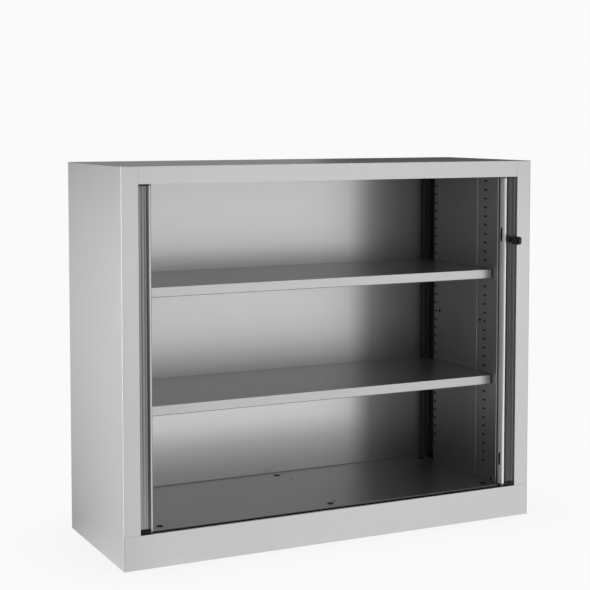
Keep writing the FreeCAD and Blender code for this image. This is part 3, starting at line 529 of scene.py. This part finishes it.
FINISHES = {
    "carcass_coat": silver_coat("carcass_coat", grey=0.6, rough=0.36, painted_light=carcass_painted_light),
    "lining_coat": silver_coat(
        "lining_coat", grey=0.4, rough=0.33, painted_light=lining_painted_light, metallic=0.7, edge_wear_and_highlight=2.3,
    ),
    "back_coat": silver_coat("back_coat", grey=0.57, rough=0.33, painted_light=back_painted_light),
    "shelf_coat": silver_coat("shelf_coat", grey=0.52, rough=0.34, painted_light=shelf_painted_shade),
    "stile_aluminium": drawn_aluminium("stile_aluminium", grey=0.98, rough=0.3),
    "slat_plastic": extruded_plastic("slat_plastic", grey=0.3, rough=0.42),
    "cap_plastic": moulded_plastic("cap_plastic", grey=0.4, rough=0.45, shoe_shade_grey=SHOE_SHADE_GREY),
    "track_plastic": moulded_plastic("track_plastic", grey=0.008, rough=0.5, gloss=0.1),
    "insert_plastic": moulded_plastic("insert_plastic", grey=0.008, rough=0.45, gloss=0.15),
    "key_plastic": moulded_plastic("key_plastic", grey=0.03, rough=0.32),
    "lock_black": moulded_plastic("lock_black", grey=0.035, rough=0.3),
    "lock_zinc": plated_steel("lock_zinc", grey=0.6, rough=0.28),
    "clip_steel": plated_steel("clip_steel", grey=0.58, rough=0.34),
    "foot_steel": plated_steel("foot_steel", grey=0.52, rough=0.38),
}


def coat_cad_nodes():
    """Give every CAD node the finish of its slot in the record, and the inner back a coat of its own."""
    for row in frame["record"]["subparts"]:
        mesh = frame["nodes"][row["node"]].data
        mesh.materials.clear()
        slot = "back_coat" if row["node"] == "inner_back_panel" else row["material_slot"]
        mesh.materials.append(FINISHES[slot])


# Curtains

SLAT_PITCH = 16 * MM
SLAT_HALF = 2.2 * MM
SLAT_SHOULDER = 2.9 * MM
SLAT_LIP = 16.4 * MM
NECK_HALF = 0.7 * MM
NECK_START = -0.5 * MM
RIB_PLACES = (5.3 * MM, 13.3 * MM)
RIB_HALF = 2.6 * MM
RIB_CREST = 1.3 * MM
RIB_RISE = 0.8 * MM
TRACK_Y = FRONT_FACE_Y + 15 * MM
KNUCKLE_X = 553 * MM
PLEAT_LEAD = 557.5 * MM
PLEAT_TAIL = 561 * MM
PLEAT_HALVINGS = 60
FRONT_SLATS = 33
CORNER_END_Y = FRONT_FACE_Y + 50 * MM
FLANK_END_Y = FRONT_FACE_Y + 376 * MM
WELD_REACH = 0.001 * MM


def link_piece(name, form, slot):
    """Make an object of a bmesh, in the finish of a slot."""
    mesh = bpy.data.meshes.new(name)
    form.to_mesh(mesh)
    form.free()
    mesh.materials.append(FINISHES[slot])
    piece = bpy.data.objects.new(name, mesh)
    bpy.context.scene.collection.objects.link(piece)
    return piece


def loose_pieces(form):
    """The vertices of each loose piece of a mesh."""
    left = set(form.verts)
    while left:
        reach = [left.pop()]
        piece = set(reach)
        while reach:
            vertex = reach.pop()
            near = {edge.other_vert(vertex) for edge in vertex.link_edges} & left
            left -= near
            piece |= near
            reach.extend(near)
        yield piece


def slat_stretch(piece):
    """Where along its path a slat of an open curtain lies."""
    depth = sum(vertex.co.y for vertex in piece) / len(piece)
    if depth < CORNER_END_Y:
        return "corner"
    return "flank" if depth < FLANK_END_Y else "tail"


def stored_slats(name, stretch):
    """A copy of those slats of the open curtain that lie on one stretch of the track."""
    form = bmesh.new()
    form.from_mesh(frame["nodes"][f"{name}_curtain_slats"].data)
    bmesh.ops.remove_doubles(form, verts=form.verts, dist=WELD_REACH)
    others = [vertex for piece in loose_pieces(form) if slat_stretch(piece) != stretch for vertex in piece]
    bmesh.ops.delete(form, geom=others, context="VERTS")
    return link_piece(f"{name}_curtain_{stretch}", form, "slat_plastic")


def rib_outline(place):
    """The four corners of a bevelled rib on a slat's front, from its tail side to its lead side."""
    foot, crest = -SLAT_HALF, -SLAT_HALF - RIB_RISE
    return [
        (place + RIB_HALF, foot), (place + RIB_CREST, crest),
        (place - RIB_CREST, crest), (place - RIB_HALF, foot),
    ]


def slat_outline():
    """A slat's section: along the curtain from its knuckle, and back from the middle of the groove."""
    ribs = [point for place in reversed(RIB_PLACES) for point in rib_outline(place)]
    return [
        (NECK_START, NECK_HALF), (SLAT_SHOULDER, NECK_HALF), (SLAT_SHOULDER, SLAT_HALF),
        (SLAT_LIP, SLAT_HALF), (SLAT_LIP, -SLAT_HALF), *ribs,
        (SLAT_SHOULDER, -NECK_HALF), (NECK_START, -NECK_HALF),
    ]


def pleated(closed, travel):
    """Where a point of the closed curtain lies while the door is open and its front run is pleated."""
    if closed >= PLEAT_TAIL:
        return closed
    if closed <= PLEAT_LEAD - travel:
        return closed + travel
    # The door draws each point along by an eased share of its travel, so the share is found by halving.
    near, far = 0.0, 1.0
    for _ in range(PLEAT_HALVINGS):
        share = (near + far) / 2
        drawn = PLEAT_TAIL - share * (PLEAT_TAIL - PLEAT_LEAD) - share * share * (3 - 2 * share) * travel
        near, far = (share, far) if drawn > closed else (near, share)
    return PLEAT_TAIL - near * (PLEAT_TAIL - PLEAT_LEAD)


def new_corners(made):
    """The vertices among what a mesh operator made."""
    return [item for item in made["geom"] if isinstance(item, bmesh.types.BMVert)]


def draw_slat(form, knuckle, bottom, top):
    """One upright slat of the closed curtain, drawn from its knuckle."""
    corners = [form.verts.new((knuckle + u, TRACK_Y + v, bottom)) for u, v in slat_outline()]
    section = [form.faces.new(corners)]
    raised = new_corners(bmesh.ops.extrude_face_region(form, geom=section, use_keep_orig=True))
    bmesh.ops.translate(form, verts=raised, vec=(0, 0, top - bottom))


def front_run(name, side):
    """The slats that a closing door draws across the front, pleated behind the post while it is open."""
    travel = next(joint for joint in frame["joints"] if joint["name"] == f"{name}_door_slide")["range_m"][1]
    bottom, top = (corner.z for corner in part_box(f"{name}_curtain_slats"))
    form = bmesh.new()
    draw_slat(form, KNUCKLE_X - travel, bottom, top)
    one = form.verts[:] + form.edges[:] + form.faces[:]
    for number in range(1, FRONT_SLATS):
        copied = new_corners(bmesh.ops.duplicate(form, geom=one))
        bmesh.ops.translate(form, verts=copied, vec=(number * SLAT_PITCH, 0, 0))
    for vertex in form.verts:
        vertex.co.x = side * pleated(vertex.co.x, travel)
    bmesh.ops.recalc_face_normals(form, faces=form.faces)
    return link_piece(f"{name}_curtain_front", form, "slat_plastic")


def add_curtain(name, side):
    """The open curtain's slats on the track, and its front run, built pleated behind the post."""
    door, node = f"{name}_door", f"{name}_curtain_slats"
    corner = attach(stored_slats(name, "corner"), "cabinet")
    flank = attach(stored_slats(name, "flank"), "cabinet")
    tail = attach(stored_slats(name, "tail"), "cabinet")
    front = front_run(name, side)
    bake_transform(front)
    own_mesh(flank)
    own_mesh(tail)
    for piece in (corner, flank, tail, front):
        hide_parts(node)


# Small fittings

PLUG_RADIUS = 4.5 * MM
PLUG_HEIGHT = 1.0 * MM
PLUG_PLACES = {
    "front": (517 * MM, 122 * MM, 543 * MM),
    "rear": (516 * MM, 337 * MM, 543 * MM),
    "foot": (517 * MM, 60 * MM, 95 * MM),
}
CAP_SCREW_RADIUS = 1.8 * MM
CAP_SCREW_HEIGHT = 0.3 * MM
CAP_SCREW_PLACE = (519 * MM, 25 * MM, 941 * MM)
RIVET_RADIUS = 2.6 * MM
RIVET_HEIGHT = 0.8 * MM
RIVET_X = 21 * MM
RIVET_DEPTHS = {"front": 71 * MM, "rear": 338 * MM}
ACCESS_CAP_RADIUS = 9 * MM
ACCESS_CAP_HEIGHT = 0.8 * MM
HEAD_SEGMENTS = 32
HEAD_EASE = 0.6
DIMPLE_INSET = 0.4
DIMPLE_DEPTH = 0.5


def add_round_head(name, body, radius, height, place, axis):
    """A low round head of black plastic with an eased rim and a dimple, standing on a face."""
    form = bmesh.new()
    bmesh.ops.create_cone(
        form, cap_ends=True, segments=HEAD_SEGMENTS, radius1=radius, radius2=radius, depth=height,
    )
    rim = [edge for edge in form.edges if all(vertex.co.z > 0 for vertex in edge.verts)]
    bmesh.ops.bevel(
        form, geom=rim, offset=height * HEAD_EASE, offset_type="OFFSET", segments=3, profile=0.5,
        affect="EDGES", material=-1,
    )
    crown = max(form.faces, key=lambda face: face.calc_center_median().z)
    bmesh.ops.inset_individual(form, faces=[crown], thickness=radius * DIMPLE_INSET)
    bmesh.ops.translate(form, verts=crown.verts, vec=(0, 0, -height * DIMPLE_DEPTH))
    turn = Vector(axis).to_track_quat("Z", "Y").to_matrix().to_4x4()
    stand = Matrix.Translation(Vector(place) + Vector(axis) * height / 2)
    bmesh.ops.transform(form, matrix=stand @ turn, verts=form.verts)
    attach(link_piece(name, form, "insert_plastic"), body)


def add_side_fittings(name, side):
    """Plugs over the fixings in one lining, and the screw that holds the cap of its stile."""
    inwards = (-side, 0, 0)
    for label, (x, y, z) in PLUG_PLACES.items():
        place = (side * x, FRONT_FACE_Y + y, z)
        add_round_head(f"{name}_{label}_plug", "cabinet", PLUG_RADIUS, PLUG_HEIGHT, place, inwards)
    x, y, z = CAP_SCREW_PLACE
    place = (side * x, FRONT_FACE_Y + y, z)
    add_round_head(f"{name}_cap_screw", f"{name}_door", CAP_SCREW_RADIUS, CAP_SCREW_HEIGHT, place, inwards)


def foot_middle(name):
    """The middle of a levelling foot."""
    foot_low, foot_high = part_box(name)
    return (foot_low + foot_high) / 2


def add_base_fittings(row, depth):
    """A rivet in the base floor, and caps over the access holes in line with a row of feet."""
    upwards = (0, 0, 1)
    place = (RIVET_X, FRONT_FACE_Y + depth, FLOOR_LEVEL)
    add_round_head(f"{row}_base_rivet", "cabinet", RIVET_RADIUS, RIVET_HEIGHT, place, upwards)
    left, right = (foot_middle(f"{row}_{name}_foot") for name in SIDES)
    for column, x, y in (("left", left.x, left.y), ("middle", 0, left.y), ("right", right.x, right.y)):
        add_round_head(
            f"{row}_{column}_access_cap", "cabinet", ACCESS_CAP_RADIUS, ACCESS_CAP_HEIGHT,
            (x, y, FLOOR_LEVEL), upwards,
        )


# Studio

BACKDROP_WHITE = 0.955
WORLD_LEVEL = 0.07
FLOOR_HALF = 30
FLOOR_GREY = 0.12
FLOOR_GLOW = 0.25
FLOOR_MIRRORED = 1.05
DIM_DIRECTION = (-0.98, -0.2, 0)
DIM_REACH = (0.5, 1.2)
DIM_LEVEL = 0.12
BEHIND_DIRECTION = (0.951, 0.309, 0)
BEHIND_REACH = (-0.75, -0.42)
BEHIND_LEVELS = (0.97, 0.2)
BEHIND_START = (-0.2, 0.3)
SHADOW_REACH = 0.25
SHADOW_LEVEL = 0.9
CAMERA_LENS = 86.48
CAMERA_SENSOR = 36
CAMERA_SHIFT = -0.1271
CAMERA_SIGHT = 200
CAMERA_PLACE = (-1.727, -3.259 + FRONT_FACE_Y, 1.1078)
CAMERA_TILT = 90 - 3.9675
CAMERA_TURN = -26.084


def ray_level(tree, camera_level, mirrored_level, other_level):
    """A strength for rays from the camera, for mirrored and transmitted rays, and for all others."""
    paths = tree.nodes.new("ShaderNodeLightPath").outputs
    mirrored = tree.nodes.new("ShaderNodeMath")
    mirrored.operation = "MAXIMUM"
    tree.links.new(paths["Is Glossy Ray"], mirrored.inputs[0])
    tree.links.new(paths["Is Transmission Ray"], mirrored.inputs[1])
    level = between(tree, mirrored.outputs[0], other_level, mirrored_level)
    return between(tree, paths["Is Camera Ray"], level, camera_level)


def add_world():
    """A white backdrop that gives only a little light."""
    world = bpy.data.worlds.new("studio")
    bpy.context.scene.world = world
    world.use_nodes = True
    background = world.node_tree.nodes["Background"]
    background.inputs["Color"].default_value = (1, 1, 1, 1)
    level = ray_level(world.node_tree, BACKDROP_WHITE, WORLD_LEVEL, WORLD_LEVEL)
    world.node_tree.links.new(level, background.inputs["Strength"])


def floor_seen(paint):
    """How bright the floor looks: white like the backdrop, with a soft shadow round the cabinet."""
    shadow = paint.node("ShaderNodeAmbientOcclusion")
    shadow.inputs["Distance"].default_value = SHADOW_REACH
    return paint.spread(shadow.outputs["AO"], BACKDROP_WHITE * SHADOW_LEVEL, BACKDROP_WHITE, 0, 1)


def floor_mirrored(paint):
    """How bright the metal mirrors the floor: dim at the front left, and behind bright only at the left."""
    ahead = paint.spread(paint.along(DIM_DIRECTION), FLOOR_MIRRORED, DIM_LEVEL, *DIM_REACH)
    behind = paint.spread(paint.along(BEHIND_DIRECTION), *BEHIND_LEVELS, *BEHIND_REACH)
    return between(paint.tree, paint.spread(paint.axes()[1], 0, 1, *BEHIND_START), ahead, behind)


def floor_paint():
    """Matt paint that also glows. The camera sees its glow alone."""
    paint = Finish("floor_paint", Roughness=0.9, Base_Color=(FLOOR_GREY, FLOOR_GREY, FLOOR_GREY, 1))
    glow = paint.node("ShaderNodeEmission")
    level = ray_level(paint.tree, floor_seen(paint), floor_mirrored(paint), FLOOR_GLOW)
    paint.link(level, glow.inputs["Strength"])
    lit = paint.node("ShaderNodeAddShader")
    paint.link(paint.shader.outputs[0], lit.inputs[0])
    paint.link(glow.outputs[0], lit.inputs[1])
    shown = paint.node("ShaderNodeMixShader")
    paint.link(paint.node("ShaderNodeLightPath").outputs["Is Camera Ray"], shown.inputs["Fac"])
    paint.link(lit.outputs[0], shown.inputs[1])
    paint.link(glow.outputs[0], shown.inputs[2])
    paint.link(shown.outputs[0], paint.tree.nodes["Material Output"].inputs["Surface"])
    return paint.material


def add_floor():
    """A wide plain floor under the cabinet."""
    form = bmesh.new()
    bmesh.ops.create_grid(form, x_segments=1, y_segments=1, size=FLOOR_HALF)
    mesh = bpy.data.meshes.new("floor")
    form.to_mesh(mesh)
    form.free()
    mesh.materials.append(floor_paint())
    floor = bpy.data.objects.new("floor", mesh)
    bpy.context.scene.collection.objects.link(floor)


def add_area(name, place, target, width, height, radiance, mirrored=True):
    """A soft box that the metal mirrors or not. Its power follows from how bright its face looks."""
    lamp = bpy.data.lights.new(name, "AREA")
    lamp.shape = "RECTANGLE"
    lamp.size, lamp.size_y = width, height
    lamp.energy = radiance * math.pi * width * height
    holder = bpy.data.objects.new(name, lamp)
    holder.visible_glossy = mirrored
    holder.location = place
    holder.rotation_euler = (Vector(target) - Vector(place)).to_track_quat("-Z", "Y").to_euler()
    bpy.context.scene.collection.objects.link(holder)


def add_front_lamps():
    """The lamps before the cabinet, which light its front and its bay."""
    add_area(
        "front_softbox", place=(1.3, -3.92, 1.3), target=(0.1, -0.2, 0.5),
        width=4.6, height=2.6, radiance=0.66,
    )
    add_area(
        "front_left_card", place=(-2.6, -3.9, 1.2), target=(0.3, 0.0, 0.5),
        width=3.0, height=2.4, radiance=0.15,
    )
    add_area(
        "front_left_strip", place=(-3.4, -1.4, 0.9), target=(0.0, -0.2, 0.5),
        width=1.6, height=2.4, radiance=1.5,
    )


def add_side_lamps():
    """The lamps beside, above and behind the cabinet. The bright left one lights matt faces only."""
    add_area(
        "left_strip", place=(-3.4, 0.15, 0.7), target=(-0.6, -0.1, 0.5),
        width=0.5, height=2.4, radiance=20.0, mirrored=False,
    )
    add_area(
        "overhead_strip", place=(1.05, -0.2, 3.2), target=(0.2, -0.2, 1.0),
        width=2.6, height=0.5, radiance=2.5,
    )
    add_area(
        "rear_softbox", place=(-2.5, 1.6, 0.8), target=(-0.6, 0.0, 0.5),
        width=1.8, height=1.6, radiance=1.02,
    )
    add_area(
        "rear_card", place=(0.59, 4.3, 1.3), target=(0.0, 0.0, 0.9),
        width=3.12, height=2.4, radiance=0.44,
    )


def add_camera():
    """The photograph's view, fitted to the cabinet's long edges."""
    camera = bpy.data.cameras.new("camera")
    camera.lens = CAMERA_LENS
    camera.sensor_width = CAMERA_SENSOR
    camera.shift_y = CAMERA_SHIFT
    camera.clip_end = CAMERA_SIGHT
    holder = bpy.data.objects.new("camera", camera)
    holder.location = CAMERA_PLACE
    holder.rotation_euler = Euler((math.radians(CAMERA_TILT), 0, math.radians(CAMERA_TURN)))
    bpy.context.scene.collection.objects.link(holder)
    bpy.context.scene.camera = holder


coat_cad_nodes()
for side_name, side_sign in SIDES.items():
    add_curtain(side_name, side_sign)
for side_name, side_sign in SIDES.items():
    add_side_fittings(side_name, side_sign)
for row_name, rivet_depth in RIVET_DEPTHS.items():
    add_base_fittings(row_name, rivet_depth)
add_world()
add_floor()
add_front_lamps()
add_side_lamps()
add_camera()
bpy.context.scene.view_settings.view_transform = "Standard"
